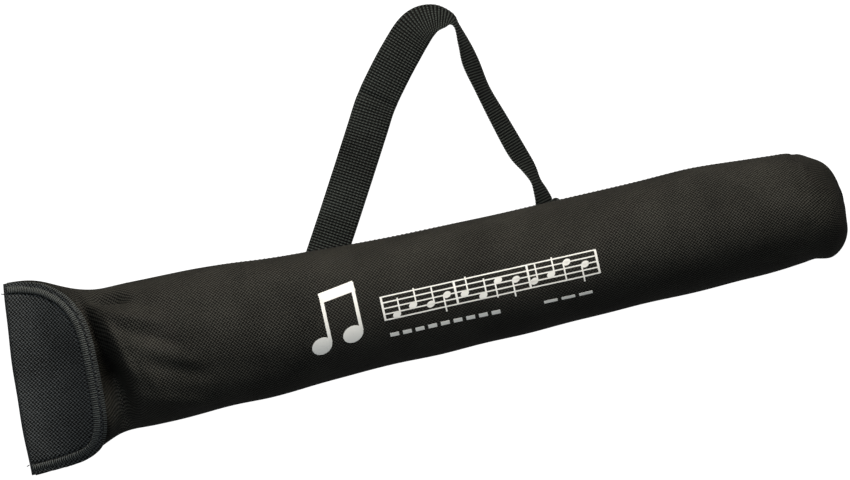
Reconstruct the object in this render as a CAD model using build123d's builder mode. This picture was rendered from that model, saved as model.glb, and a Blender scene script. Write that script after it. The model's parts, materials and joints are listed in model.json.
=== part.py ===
"""Folding music stand packed in its nylon carrying bag, lying on its back on a table.

Frame: +X runs from the mouth of the bag to its closed end, +Z is up and the printed
front faces up. The origin is on the table, midway along the bag and on its axis.
All sizes are in millimetres.
"""

import os
from math import cos, hypot, radians, sin

from build123d import *

os.makedirs("parts", exist_ok=True)

# ---------------------------------------------------------------- driving dimensions
BAG_LENGTH = 615
MID = BAG_LENGTH / 2
WALL = 1.2
FLAT_WIDTH = 142
PANEL_JOIN = 88
END_SEAM = 587
TABLE_CUT = 2
GAP = 0.3

# Cross-sections of the filled bag: distance from the mouth, half width, bottom, top.
# The bottoms lie a little below the table, and the table cuts them flat.
MOUTH_SECTIONS = (
    (-12, 71, -TABLE_CUT, 8),
    (0, 71, -TABLE_CUT, 8),
    (15, 70.5, -TABLE_CUT, 12),
    (30, 68, -TABLE_CUT, 22),
    (45, 62.5, -TABLE_CUT, 39),
    (60, 56.5, -TABLE_CUT, 55),
    (74, 53.6, -TABLE_CUT, 68),
    (PANEL_JOIN, 53.2, -TABLE_CUT, 72),
)
BODY_SECTIONS = (
    (PANEL_JOIN, 53.2, -TABLE_CUT, 72),
    (135, 52.4, -TABLE_CUT, 73.5),
    (172, 51.3, -TABLE_CUT, 76),
    (210, 48.8, -TABLE_CUT, 80),
    (250, 46, -TABLE_CUT, 84),
    (290, 44.9, -TABLE_CUT, 85.6),
    (350, 44.1, -TABLE_CUT, 86),
    (430, 43.7, -TABLE_CUT, 86),
    (500, 43.6, -TABLE_CUT, 86),
    (546, 42.2, -TABLE_CUT, 83.8),
    (570, 40.3, -TABLE_CUT, 79.4),
    (END_SEAM, 37.5, -1, 73),
)
CAP_SECTIONS = (
    (END_SEAM, 37.5, -1, 73),
    (598, 34.5, 2.5, 68),
    (606, 30.5, 8, 61.5),
    (612, 25, 15, 54),
    (BAG_LENGTH, 18, 23, 46),
)

# The flap folds over the mouth on a slightly slanted line.
FOLD_SLANT = 4.05
FOLD_MIDDLE = 3
BODY_MIDDLE = 35
FLAP_UNDER = 2.2
FLAP_THICK = 1.4
BINDING_WIDTH = 6.5
BINDING_PROUD = 0.7
FLAP_REACH = 60
PIPING_WIDTH = 4
PIPING_THICK = 1.6
SEAM_THICK = 0.9
SEAM_LOW = 39
SEAM_WIDTH = 5
# Hook and loop patches: start and end from the fold line, half length across.
PATCH = (22, 44, 30)

# Webbing of the carrying strap.
WEBBING = 30
WEBBING_THICK = 1.6

# Folded stand: a telescopic mast with three legs round it, and the folded desk above it.
MAST_Z = 30
BASE_TUBE_R = 9
MIDDLE_TUBE_R = 7
TOP_ROD_R = 5
TUBE_WALL = 1.2
LEG_CIRCLE_R = 17
LEG_WIDTH = 11
LEG_DEPTH = 7
LEG_ANGLES = (30, 150, 270)
LEG_HUB_X = 262
LEG_END_X = 572
STRUT_HUB_X = 410
DESK_START = 92
DESK_END = 328
RIVET_INSET = 9
DESK_BOTTOM = 47
STRIP_THICK = 2
STRIP_PITCH = 2.5
CLIP_Z = DESK_BOTTOM + STRIP_PITCH + STRIP_THICK / 2
KNOB_SPAN = 17
PIN_R = 1.5
PIN_PLAY = 0.05
STRUT_LENGTH = 106
STRUT_PIN_X = STRUT_HUB_X + STRUT_LENGTH - 6


def x_at(distance):
    """Frame X of a distance from the mouth."""
    return distance - MID


def save(part, name):
    """Label a finished piece and write it."""
    part.label = name
    export_step(part, f"parts/{name}.step")


# ---------------------------------------------------------------- bag volumes
def bag_volume(sections, growth, floor):
    """Solid inside the bag's sections, grown by a margin and cut flat on the floor."""
    with BuildPart() as volume:
        for distance, half_width, bottom, top in sections:
            middle = (bottom + top) / 2
            section = Plane((x_at(distance), 0, middle), x_dir=(0, 1, 0), z_dir=(1, 0, 0))
            with BuildSketch(section):
                Ellipse(half_width + growth, (top - bottom) / 2 + growth)
        loft()
        split(bisect_by=Plane.XY.offset(floor), keep=Keep.TOP)
    return volume.part


def skin(sections, low, high):
    """Layer of the bag between two distances from its outer face."""
    with BuildPart() as layer:
        add(bag_volume(sections, high, max(0, -high)))
        add(bag_volume(sections, low, max(0, -low)), mode=Mode.SUBTRACT)
    return layer.part


ACROSS_FOLD = (cos(radians(FOLD_SLANT)), -sin(radians(FOLD_SLANT)), 0)
FOLD = Plane((x_at(0), 0, 0), x_dir=(0, 0, 1), z_dir=ACROSS_FOLD)
FOLD_PLAN = Plane((x_at(0), 0, 0), x_dir=FOLD.z_dir, z_dir=(0, 0, 1))

# The side seams of the mouth rise from the fold to the middle height of the body.
ABOVE_SEAM = (FOLD_MIDDLE - BODY_MIDDLE, 0, PANEL_JOIN)
SEAM_RISE = Plane((x_at(0), 0, FOLD_MIDDLE), x_dir=(0, 1, 0), z_dir=ABOVE_SEAM)

body_layer = skin(BODY_SECTIONS, -WALL, 0)
mouth_layer = skin(MOUTH_SECTIONS, -WALL, 0)
body_outside = bag_volume(BODY_SECTIONS, 0, 0)

# ---------------------------------------------------------------- bag body
with BuildPart() as body_panel:
    add(body_layer)
save(body_panel.part, "body_panel")

with BuildPart() as mouth_back_panel:
    add(mouth_layer)
    split(bisect_by=FOLD, keep=Keep.TOP)
    split(bisect_by=SEAM_RISE, keep=Keep.BOTTOM)
save(mouth_back_panel.part, "mouth_back_panel")

with BuildPart() as end_cap:
    add(bag_volume(CAP_SECTIONS, 0, 0))
    inner_sections = [(d - WALL, half, low, high) for d, half, low, high in CAP_SECTIONS]
    inner_sections[0] = CAP_SECTIONS[0]
    add(bag_volume(inner_sections, -WALL, WALL), mode=Mode.SUBTRACT)
save(end_cap.part, "end_cap")

with BuildPart() as end_seam_piping:
    add(bag_volume(BODY_SECTIONS, PIPING_THICK, 0))
    add(body_outside, mode=Mode.SUBTRACT)
    split(bisect_by=Plane.YZ.offset(x_at(END_SEAM - PIPING_WIDTH)), keep=Keep.TOP)
save(end_seam_piping.part, "end_seam_piping")

with BuildPart() as side_seam:
    add(skin(BODY_SECTIONS, 0, SEAM_THICK))
    seam_end = END_SEAM - PIPING_WIDTH
    with BuildSketch(Plane.XY.offset(SEAM_LOW)):
        with Locations((x_at((PANEL_JOIN + seam_end) / 2), FLAT_WIDTH / 2)):
            Rectangle(seam_end - PANEL_JOIN, FLAT_WIDTH)
    extrude(amount=SEAM_WIDTH, mode=Mode.INTERSECT)
save(side_seam.part, "side_seam")

# ---------------------------------------------------------------- mouth and flap
with BuildPart() as flap_fold:
    fold_section = Plane(FOLD.origin + Vector(0, 0, FOLD_MIDDLE), x_dir=(0, 1, 0), z_dir=FOLD.z_dir)
    with BuildSketch(fold_section.offset(-GAP)):
        Ellipse(FLAT_WIDTH / 2, 5 + FLAP_UNDER + FLAP_THICK)
    extrude(amount=-FLAP_THICK)
    split(bisect_by=Plane.XY, keep=Keep.TOP)
    with BuildSketch(fold_section):
        Ellipse(FLAT_WIDTH / 2, 5)
        Ellipse(FLAT_WIDTH / 2 - WALL, 5 - WALL, mode=Mode.SUBTRACT)
    extrude(amount=-GAP)
    split(bisect_by=Plane.XY, keep=Keep.TOP)
save(flap_fold.part, "flap_fold")

with BuildPart() as mouth_front_panel:
    add(mouth_layer)
    split(bisect_by=FOLD.offset(GAP), keep=Keep.TOP)
    split(bisect_by=SEAM_RISE.offset(GAP), keep=Keep.TOP)
    split(bisect_by=Plane.YZ.offset(x_at(PANEL_JOIN) - GAP), keep=Keep.BOTTOM)
save(mouth_front_panel.part, "mouth_front_panel")


def plan_prism(depth_low, depth_high, half_along):
    """Upright block over part of the mouth, placed from the fold line."""
    with BuildPart() as block:
        with BuildSketch(FOLD_PLAN):
            with Locations(((depth_low + depth_high) / 2, 0)):
                Rectangle(depth_high - depth_low, 2 * half_along)
        extrude(amount=100)
    return block.part


with BuildPart() as mouth_hem:
    add(skin(MOUTH_SECTIONS, 0, SEAM_THICK))
    add(plan_prism(1, 1 + BINDING_WIDTH, 62), mode=Mode.INTERSECT)
    split(bisect_by=SEAM_RISE.offset(GAP), keep=Keep.TOP)
save(mouth_hem.part, "mouth_hem")

with BuildPart() as loop_patch:
    add(skin(MOUTH_SECTIONS, 0, 0.8))
    add(plan_prism(*PATCH), mode=Mode.INTERSECT)
    split(bisect_by=SEAM_RISE.offset(GAP), keep=Keep.TOP)
save(loop_patch.part, "loop_patch")

with BuildPart() as hook_patch:
    add(skin(MOUTH_SECTIONS, FLAP_UNDER - 1, FLAP_UNDER))
    add(plan_prism(*PATCH), mode=Mode.INTERSECT)
    split(bisect_by=SEAM_RISE.offset(GAP), keep=Keep.TOP)
save(hook_patch.part, "hook_patch")


def flap_prism(inset):
    """Upright block with the rounded outline of the flap, pulled in by a margin."""
    half = FLAT_WIDTH / 2 - inset
    reach = FLAP_REACH - inset
    with BuildPart() as block:
        with BuildSketch(FOLD_PLAN):
            with BuildLine():
                free_edge = Spline(
                    (GAP, -half),
                    (0.47 * reach, -0.955 * half),
                    (0.87 * reach, -0.77 * half),
                    (reach, -0.46 * half),
                    (0.975 * reach, 0),
                    (0.86 * reach, 0.39 * half),
                    (0.49 * reach, 0.905 * half),
                    (GAP, half),
                )
                Line(free_edge @ 1, free_edge @ 0)
            make_face()
        extrude(amount=100)
    return block.part


with BuildPart() as flap_panel:
    add(skin(MOUTH_SECTIONS, FLAP_UNDER, FLAP_UNDER + FLAP_THICK))
    add(flap_prism(BINDING_WIDTH), mode=Mode.INTERSECT)
    split(bisect_by=SEAM_RISE.offset(2 * GAP), keep=Keep.TOP)
save(flap_panel.part, "flap_panel")

with BuildPart() as flap_binding:
    add(skin(MOUTH_SECTIONS, FLAP_UNDER - BINDING_PROUD, FLAP_UNDER + FLAP_THICK + BINDING_PROUD))
    add(flap_prism(0), mode=Mode.INTERSECT)
    add(flap_prism(BINDING_WIDTH), mode=Mode.SUBTRACT)
    split(bisect_by=SEAM_RISE.offset(2 * GAP), keep=Keep.TOP)
save(flap_binding.part, "flap_binding")

# ---------------------------------------------------------------- carrying strap
# Middle of the webbing: distance from the mouth, Y, Z, tilt of its width.
LEFT_ROOT = (
    (223, 14.5, 1.0, 0),
    (233, 31, 1.0, 0),
    (242, 46, 1.1, 0),
    (250, 59.7, 1.2, 0),
)
LOOP = (
    (250.2, 60, 1.2, 0),
    (274, 100, 1.3, 0),
    (297, 139.5, 2.2, 2),
    (323, 172, 8, 6),
    (340, 187, 13, 18),
    (354, 192, 15.5, 43),
    (363.5, 190, 15.8, 66),
    (368.5, 184, 16, 82),
    (371, 170, 15.5, 74),
    (373, 154.5, 14.6, 65),
    (377, 133.5, 14.9, 68),
    (383.5, 109, 14.4, 63),
    (390, 84, 13.6, 55),
    (399, 62, 15.6, 74),
    (399.3, 60, 15.5, 73),
)
RIGHT_ROOT = (
    (399.6, 58.2, 15.4, 72),
    (401.5, 46, 14.3, 62),
    (402.5, 38, 9, 34),
    (403, 28, 3, 9),
    (403, 14.5, 1.0, 0),
)


def webbing(route, ends):
    """Ribbon through a route, its width turned by each tilt; ends are the points beyond."""
    points = [Vector(x_at(d), y, z) for d, y, z, _ in route]
    chain = [ends[0]] + points + [ends[1]]
    with BuildPart() as ribbon:
        for index, (_, _, _, tilt) in enumerate(route):
            along = (chain[index + 2] - chain[index]).normalized()
            level = hypot(along.X, along.Y)
            inward = Vector(along.Y / level, -along.X / level, 0)
            across = inward * cos(radians(tilt)) + Vector(0, 0, 1) * sin(radians(tilt))
            across = across - along * across.dot(along)
            with BuildSketch(Plane(points[index], x_dir=across, z_dir=along)):
                Rectangle(WEBBING, WEBBING_THICK)
        loft(ruled=True)
    return ribbon.part


def route_point(row):
    """Position of one row of a webbing route."""
    return Vector(x_at(row[0]), row[1], row[2])


with BuildPart() as shoulder_strap:
    add(webbing(LOOP, (route_point(LEFT_ROOT[2]), route_point(RIGHT_ROOT[1]))))
save(shoulder_strap.part, "shoulder_strap")

with BuildPart() as strap_root_left:
    add(webbing(LEFT_ROOT, (route_point(LEFT_ROOT[0]) - Vector(10, 16, 0), route_point(LOOP[1]))))
    add(body_outside, mode=Mode.SUBTRACT)
save(strap_root_left.part, "strap_root_left")

with BuildPart() as strap_root_right:
    add(webbing(RIGHT_ROOT, (route_point(LOOP[-3]), route_point(RIGHT_ROOT[-1]) - Vector(0, 12, 0))))
    add(body_outside, mode=Mode.SUBTRACT)
save(strap_root_right.part, "strap_root_right")

# ---------------------------------------------------------------- mast
def rod(start, end, radius, bore=0):
    """Round bar or tube along the mast's axis."""
    with BuildPart() as bar:
        with BuildSketch(Plane((x_at(start), 0, MAST_Z), x_dir=(0, 1, 0), z_dir=(1, 0, 0))):
            Circle(radius)
            if bore:
                Circle(bore, mode=Mode.SUBTRACT)
        extrude(amount=end - start)
    return bar.part


with BuildPart() as base_tube:
    add(rod(205, 584, BASE_TUBE_R, BASE_TUBE_R - TUBE_WALL))
save(base_tube.part, "base_tube")

with BuildPart() as middle_tube:
    add(rod(150, 420, MIDDLE_TUBE_R, MIDDLE_TUBE_R - TUBE_WALL))
save(middle_tube.part, "middle_tube")

with BuildPart() as top_rod:
    add(rod(96, 360, TOP_ROD_R))
save(top_rod.part, "top_rod")

with BuildPart() as tube_end_plug:
    add(rod(584, 588, BASE_TUBE_R + 1))
    add(rod(566, 584, BASE_TUBE_R - TUBE_WALL))
    fillet(tube_end_plug.faces().sort_by(Axis.X)[-1].edges(), 1.5)
save(tube_end_plug.part, "tube_end_plug")

COLLARS = (
    ("base_tube_collar", "base_tube_knob", 200, 224, BASE_TUBE_R),
    ("middle_tube_collar", "middle_tube_knob", 145, 165, MIDDLE_TUBE_R),
    ("desk_socket", "desk_knob", 96, 116, TOP_ROD_R),
)
for collar_name, knob_name, start, end, tube_r in COLLARS:
    ring_r = tube_r + 3
    screw_x = x_at((start + end) / 2)
    with BuildPart() as collar:
        add(rod(start, end, ring_r, tube_r))
        chamfer(collar.edges().filter_by(GeomType.CIRCLE).filter_by(lambda e: e.radius > tube_r + 1), 1)
        with BuildSketch(Plane.XZ.offset(-tube_r - 1)):
            with Locations((screw_x, MAST_Z)):
                Circle(5)
        extrude(amount=-4.5)
        with BuildSketch(Plane.XZ):
            with Locations((screw_x, MAST_Z)):
                Circle(2.55)
        extrude(amount=-tube_r - 8, mode=Mode.SUBTRACT)
        if collar_name == "desk_socket":
            with BuildSketch(Plane.XY.offset(MAST_Z + tube_r + 1)):
                with Locations((screw_x, 0)):
                    Rectangle(end - start - 2, 9)
            extrude(amount=DESK_BOTTOM - MAST_Z - tube_r - 1)
    save(collar.part, collar_name)
    with BuildPart() as wing_knob:
        with BuildSketch(Plane.XZ.offset(-tube_r - 0.4)):
            with Locations((screw_x, MAST_Z)):
                Circle(2.5)
        extrude(amount=-6.5)
        with BuildSketch(Plane.XZ.offset(-tube_r - 6)):
            with Locations((screw_x, MAST_Z)):
                Circle(4.6)
        extrude(amount=-7)
        with BuildSketch(Plane.XZ.offset(-tube_r - 8)):
            with Locations((screw_x, MAST_Z)):
                SlotOverall(KNOB_SPAN, 3.4)
        extrude(amount=-9)
        fillet(wing_knob.faces().sort_by(Axis.Y)[-1].edges(), 0.8)
    save(wing_knob.part, knob_name)

# ---------------------------------------------------------------- folded legs
def leg_plane(angle, distance, radius):
    """Plane across a leg, with its local Y pointing away from the mast."""
    out = Vector(0, cos(radians(angle)), sin(radians(angle)))
    side = Vector(0, -out.Z, out.Y)
    spot = Vector(x_at(distance), 0, MAST_Z) + out * radius
    return Plane(spot, x_dir=side * -1, z_dir=(1, 0, 0))


def cross_pins(distance, radius, length, pin_r):
    """One pin through each leg, across it."""
    with BuildPart() as pins:
        for angle in LEG_ANGLES:
            seat = leg_plane(angle, distance, radius)
            start = seat.origin - seat.x_dir * (length / 2)
            with BuildSketch(Plane(start, x_dir=(1, 0, 0), z_dir=seat.x_dir)):
                Circle(pin_r)
            extrude(amount=length)
    return pins.part


def hub(start, end):
    """Ring round the base tube with one drilled lug for each leg."""
    with BuildPart() as ring:
        add(rod(start, end, BASE_TUBE_R + 3.2, BASE_TUBE_R + 0.05))
        for angle in LEG_ANGLES:
            lug = leg_plane(angle, start, BASE_TUBE_R + 5)
            with BuildSketch(lug):
                Rectangle(4, 10)
            extrude(amount=end - start)
        add(cross_pins((start + end) / 2, LEG_CIRCLE_R, LEG_WIDTH, PIN_R + PIN_PLAY), mode=Mode.SUBTRACT)
    return ring.part


with BuildPart() as leg_hub:
    add(hub(LEG_HUB_X - 7, LEG_HUB_X + 7))
save(leg_hub.part, "leg_hub")

with BuildPart() as strut_hub:
    add(hub(STRUT_HUB_X - 6, STRUT_HUB_X + 6))
save(strut_hub.part, "strut_hub")

for number, angle in enumerate(LEG_ANGLES, start=1):
    with BuildPart() as leg:
        with BuildSketch(leg_plane(angle, LEG_HUB_X - 6, LEG_CIRCLE_R)):
            Rectangle(LEG_WIDTH, LEG_DEPTH)
            with Locations((0, -1.3)):
                Rectangle(LEG_WIDTH - 2.6, LEG_DEPTH, mode=Mode.SUBTRACT)
        extrude(amount=LEG_END_X - LEG_HUB_X + 6)
        for distance in (LEG_HUB_X, STRUT_PIN_X):
            add(cross_pins(distance, LEG_CIRCLE_R, LEG_WIDTH + 2, PIN_R + PIN_PLAY), mode=Mode.SUBTRACT)
    save(leg.part, f"leg_{number}")
    with BuildPart() as foot:
        with BuildSketch(leg_plane(angle, LEG_END_X, LEG_CIRCLE_R)):
            RectangleRounded(LEG_WIDTH + 2, LEG_DEPTH + 1.6, 2.5)
        extrude(amount=12)
        fillet(foot.faces().sort_by(Axis.X)[-1].edges(), 1.5)
        with BuildSketch(leg_plane(angle, LEG_END_X - 14, LEG_CIRCLE_R - 0.65)):
            Rectangle(LEG_WIDTH - 2.8, LEG_DEPTH - 1.5)
        extrude(amount=14)
    save(foot.part, f"foot_{number}")
    with BuildPart() as strut:
        for side in (-1, 1):
            with BuildSketch(leg_plane(angle, STRUT_HUB_X - 4, LEG_CIRCLE_R - 0.6)):
                with Locations((side * 3.1, 0)):
                    Rectangle(1.4, 4.4)
            extrude(amount=STRUT_LENGTH)
        for distance in (STRUT_HUB_X, STRUT_PIN_X):
            add(cross_pins(distance, LEG_CIRCLE_R, LEG_WIDTH, PIN_R + PIN_PLAY), mode=Mode.SUBTRACT)
    save(strut.part, f"strut_{number}")


with BuildPart() as leg_pins:
    add(cross_pins(LEG_HUB_X, LEG_CIRCLE_R, LEG_WIDTH + 1.6, PIN_R))
save(leg_pins.part, "leg_pins")

with BuildPart() as strut_pins:
    add(cross_pins(STRUT_HUB_X, LEG_CIRCLE_R, LEG_WIDTH - 2.8, PIN_R))
    add(cross_pins(STRUT_PIN_X, LEG_CIRCLE_R, LEG_WIDTH + 1.6, PIN_R))
save(strut_pins.part, "strut_pins")

# ---------------------------------------------------------------- folded desk
DESK_STRIPS = (
    ("desk_spine_lower", 18, 0),
    ("desk_ledge_left", 24, 0),
    ("desk_ledge_right", 24, 0),
    ("desk_arm_left", 14, 4),
    ("desk_arm_right", 14, -4),
    ("desk_brace_left", 12, 5),
    ("desk_brace_right", 12, -5),
    ("desk_spine_upper", 18, 0),
)
for level, (strip_name, width, side) in enumerate(DESK_STRIPS):
    bottom = DESK_BOTTOM + level * STRIP_PITCH
    with BuildPart() as strip:
        with BuildSketch(Plane.XY.offset(bottom)):
            with Locations((x_at((DESK_START + DESK_END) / 2), side)):
                SlotOverall(DESK_END - DESK_START, width)
        extrude(amount=STRIP_THICK)
        with BuildSketch(Plane.XY.offset(bottom)):
            with Locations((x_at(DESK_START + RIVET_INSET), 0), (x_at(DESK_END - RIVET_INSET), 0)):
                Circle(2.05)
        extrude(amount=STRIP_THICK, mode=Mode.SUBTRACT)
    save(strip.part, strip_name)

desk_top = DESK_BOTTOM + len(DESK_STRIPS) * STRIP_PITCH
with BuildPart() as desk_rivets:
    with BuildSketch(Plane.XY.offset(DESK_BOTTOM)):
        with Locations((x_at(DESK_START + RIVET_INSET), 0), (x_at(DESK_END - RIVET_INSET), 0)):
            Circle(2)
    extrude(amount=desk_top - DESK_BOTTOM)
    with BuildSketch(Plane.XY.offset(desk_top - STRIP_PITCH + STRIP_THICK)):
        with Locations((x_at(DESK_START + RIVET_INSET), 0), (x_at(DESK_END - RIVET_INSET), 0)):
            Circle(4)
    extrude(amount=1.2)
save(desk_rivets.part, "desk_rivets")

for side_name, side in (("left", 1), ("right", -1)):
    with BuildPart() as page_clip:
        with BuildLine() as wire:
            FilletPolyline(
                (x_at(DESK_START + 30), side * 12, CLIP_Z),
                (x_at(DESK_START + 30), side * 18, CLIP_Z),
                (x_at(DESK_START + 120), side * 18, CLIP_Z),
                (x_at(DESK_START + 120), side * 18, CLIP_Z + 8),
                (x_at(DESK_START + 40), side * 18, CLIP_Z + 8),
                radius=2,
            )
        with BuildSketch(Plane(wire.line @ 0, z_dir=wire.line % 0)):
            Circle(1.1)
        sweep()
    save(page_clip.part, f"page_clip_{side_name}")
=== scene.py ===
"""Looks of a folding music stand packed in its black nylon carrying bag, lying on its back.

The frame is in metres. The shapes here are worked out in millimetres and scaled by MM:
distances run from the mouth of the bag, Y is across it and Z is up.
"""

import json
from math import cos, pi, radians, sin

import bmesh
import bpy
import numpy as np
from mathutils import Matrix, Vector


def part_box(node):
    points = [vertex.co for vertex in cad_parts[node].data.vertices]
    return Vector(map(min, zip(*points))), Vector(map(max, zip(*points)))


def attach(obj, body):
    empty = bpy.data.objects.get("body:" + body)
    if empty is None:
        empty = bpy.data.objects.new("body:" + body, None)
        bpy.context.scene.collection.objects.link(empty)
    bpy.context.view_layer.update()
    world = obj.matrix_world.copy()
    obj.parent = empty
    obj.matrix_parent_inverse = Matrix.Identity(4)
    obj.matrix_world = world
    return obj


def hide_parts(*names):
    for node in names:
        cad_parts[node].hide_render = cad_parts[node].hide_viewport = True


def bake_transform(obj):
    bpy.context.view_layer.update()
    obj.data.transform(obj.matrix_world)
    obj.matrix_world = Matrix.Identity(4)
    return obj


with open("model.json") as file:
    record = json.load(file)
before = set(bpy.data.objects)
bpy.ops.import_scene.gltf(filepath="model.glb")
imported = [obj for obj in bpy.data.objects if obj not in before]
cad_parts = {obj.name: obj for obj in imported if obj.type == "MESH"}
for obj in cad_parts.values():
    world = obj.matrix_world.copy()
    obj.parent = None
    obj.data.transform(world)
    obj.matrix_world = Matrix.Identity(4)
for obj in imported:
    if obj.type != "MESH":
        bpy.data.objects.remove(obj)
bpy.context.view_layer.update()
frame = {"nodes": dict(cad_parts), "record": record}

MM = 0.001
TAU = 2 * pi
# Distance of the frame's origin, and of the joins along the bag.
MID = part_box("end_cap")[1][0] / MM
PANEL_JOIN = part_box("body_panel")[0][0] / MM + MID
END_SEAM = 587
# The closed end starts to round here and ends as a small oval of this half size.
END_ROUND = 590
BAG_END = 615
END_HALF = 15
END_RISE = 13
# Lowest level of the round bag before its underside is flattened.
BOTTOM = -2.0
# The mouth's flat half width; its fold's slant and bow, and how far along the bag each fades.
FLAT_HALF = 71
FOLD_SLOPE = 10 / 141
FOLD_BOW = 2.4
FOLD_FADE = 60
BOW_FADE = 45
# Angle of the side seam, cloth for each radian round the bag, and the cloth's thickness.
SEAM_PHI = 0.04
ARC = 44.5
CLOTH = 0.6

# ------------------------------------------------------------------ shape of the filled bag
# Distance from the mouth, half width, top.
SECTIONS = np.array([
    (-20, 71.5, 8), (0, 71.5, 8), (15, 70.5, 11), (30, 67.3, 21), (45, 61, 38), (58, 55, 54),
    (70, 52.6, 66), (88, 53, 72), (135, 52.4, 73.5), (172, 51.3, 76), (210, 48.8, 80),
    (250, 46.6, 84), (290, 45.6, 85.6), (350, 45, 86), (430, 44.5, 86), (510, 44, 86),
    (546, 42.6, 84), (570, 41.2, 80.5), (590, 39.4, 76), (640, 36, 70)])
STEP = 0.5
GRID = np.arange(-20, 640, STEP)


def smoothed(column, spread=6):
    """One column of the sections, as a smooth curve over the grid."""
    reach = int(4 * spread / STEP)
    kernel = np.exp(-0.5 * (np.arange(-reach, reach + 1) * STEP / spread) ** 2)
    line = np.interp(GRID, SECTIONS[:, 0], SECTIONS[:, column])
    return np.convolve(np.pad(line, reach, "edge"), kernel / kernel.sum(), "valid")


HALF_WIDTHS = smoothed(1)
TOPS = smoothed(2)


def smooth_route(route, per_span=14):
    """Catmull-Rom curve through a row of points."""
    padded = np.concatenate([2 * route[:1] - route[1:2], route, 2 * route[-1:] - route[-2:-1]])
    out = []
    for i in range(1, len(padded) - 2):
        p0, p1, p2, p3 = padded[i - 1:i + 3]
        for t in np.arange(per_span) / per_span:
            out.append(0.5 * ((2 * p1) + (p2 - p0) * t + (2 * p0 - 5 * p1 + 4 * p2 - p3) * t ** 2
                              + (3 * p1 - p0 - 3 * p2 + p3) * t ** 3))
    out.append(route[-1])
    return np.array(out)


def ease(value):
    """0 to 1 with soft ends."""
    t = np.clip(value, 0, 1)
    return t * t * (3 - 2 * t)


def bump(value, centre, width):
    """A smooth hump of height 1."""
    return np.exp(-((value - centre) / width) ** 2)


def waves(s, phi, seed, count, length, turns):
    """Soft random unevenness from a few seeded sine waves."""
    rng = np.random.default_rng(seed)
    total = 0
    for _ in range(count):
        pitch = length * rng.uniform(0.6, 1.6)
        around = rng.integers(0, turns + 1) * rng.choice([-1, 1])
        total = total + np.sin(TAU * s / pitch + around * phi + rng.uniform(0, TAU))
    return total / count ** 0.5


# Folds of the cloth near the mouth, seen from above: start and end as distance and Y,
# half width, and height, negative for a groove.
FOLDS = (
    ((66, 47), (86, 43), 4.0, -8.0),
    ((72, 24), (82, -14), 4.5, 3.0),
    ((91, -4), (100, -30), 5.0, 1.6),
    ((88, 39), (120, 30), 5.0, -1.8),
    ((74, 33), (112, 18), 4.0, 1.8),
    ((78, 22), (118, 2), 4.0, -1.5),
    ((84, 8), (128, -14), 5.0, 1.3),
    ((90, -8), (135, -26), 5.0, -1.2),
    ((92, -34), (130, -46), 5.0, 1.6),
    ((100, 50), (170, 38), 7.0, -0.9),
    ((118, -20), (190, -30), 8.0, -0.7),
    ((130, 25), (215, 8), 9.0, -0.6),
)

# The deep tuck beside the flap's edge: Y, distance of its middle, half width and depth.
VALLEY = smooth_route(np.array([
    (-60, 69, 7, 0), (-51, 69.5, 8, 12), (-42, 69.5, 8.5, 25), (-30, 68.5, 9, 33),
    (-16, 67.5, 9.5, 33), (0, 65.5, 9, 27), (14, 63.5, 8, 19), (30, 59.5, 6.5, 13),
    (44, 54.5, 5.5, 8), (54, 52, 5, 0)], float))


def folds(s, y, up):
    """Height of the folds at a place on the bag; up is 1 on its front."""
    middle, half, depth = (np.interp(y, VALLEY[:, 0], VALLEY[:, k]) for k in (1, 2, 3))
    total = -depth * np.exp(-((s - middle) / half) ** 2)
    for (s0, y0), (s1, y1), width, height in FOLDS:
        along = np.array((s1 - s0, y1 - y0), float)
        length = np.hypot(*along)
        along /= length
        t = (s - s0) * along[0] + (y - y0) * along[1]
        off = -(s - s0) * along[1] + (y - y0) * along[0]
        taper = ease((t + 10) / 16) * ease((length + 10 - t) / 16)
        total = total + height * np.exp(-(off / width) ** 2) * taper
    return total * up


def middle_of_bag(s):
    """Y of the bag's middle: the filled bag bows a little to one side."""
    return -2.8 * bump(s, 300, 200) - 1.2 * bump(s, 42, 16) - 4.5 * ease((s - 582) / 20)


def fold_shift(s, y):
    """How far the slanted and slightly bowed fold moves the mouth along the bag."""
    slant = FOLD_SLOPE * y * (1 - ease(s / FOLD_FADE))
    return slant - FOLD_BOW * (1 - (y / FLAT_HALF) ** 2) * (1 - ease(s / BOW_FADE))


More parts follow.
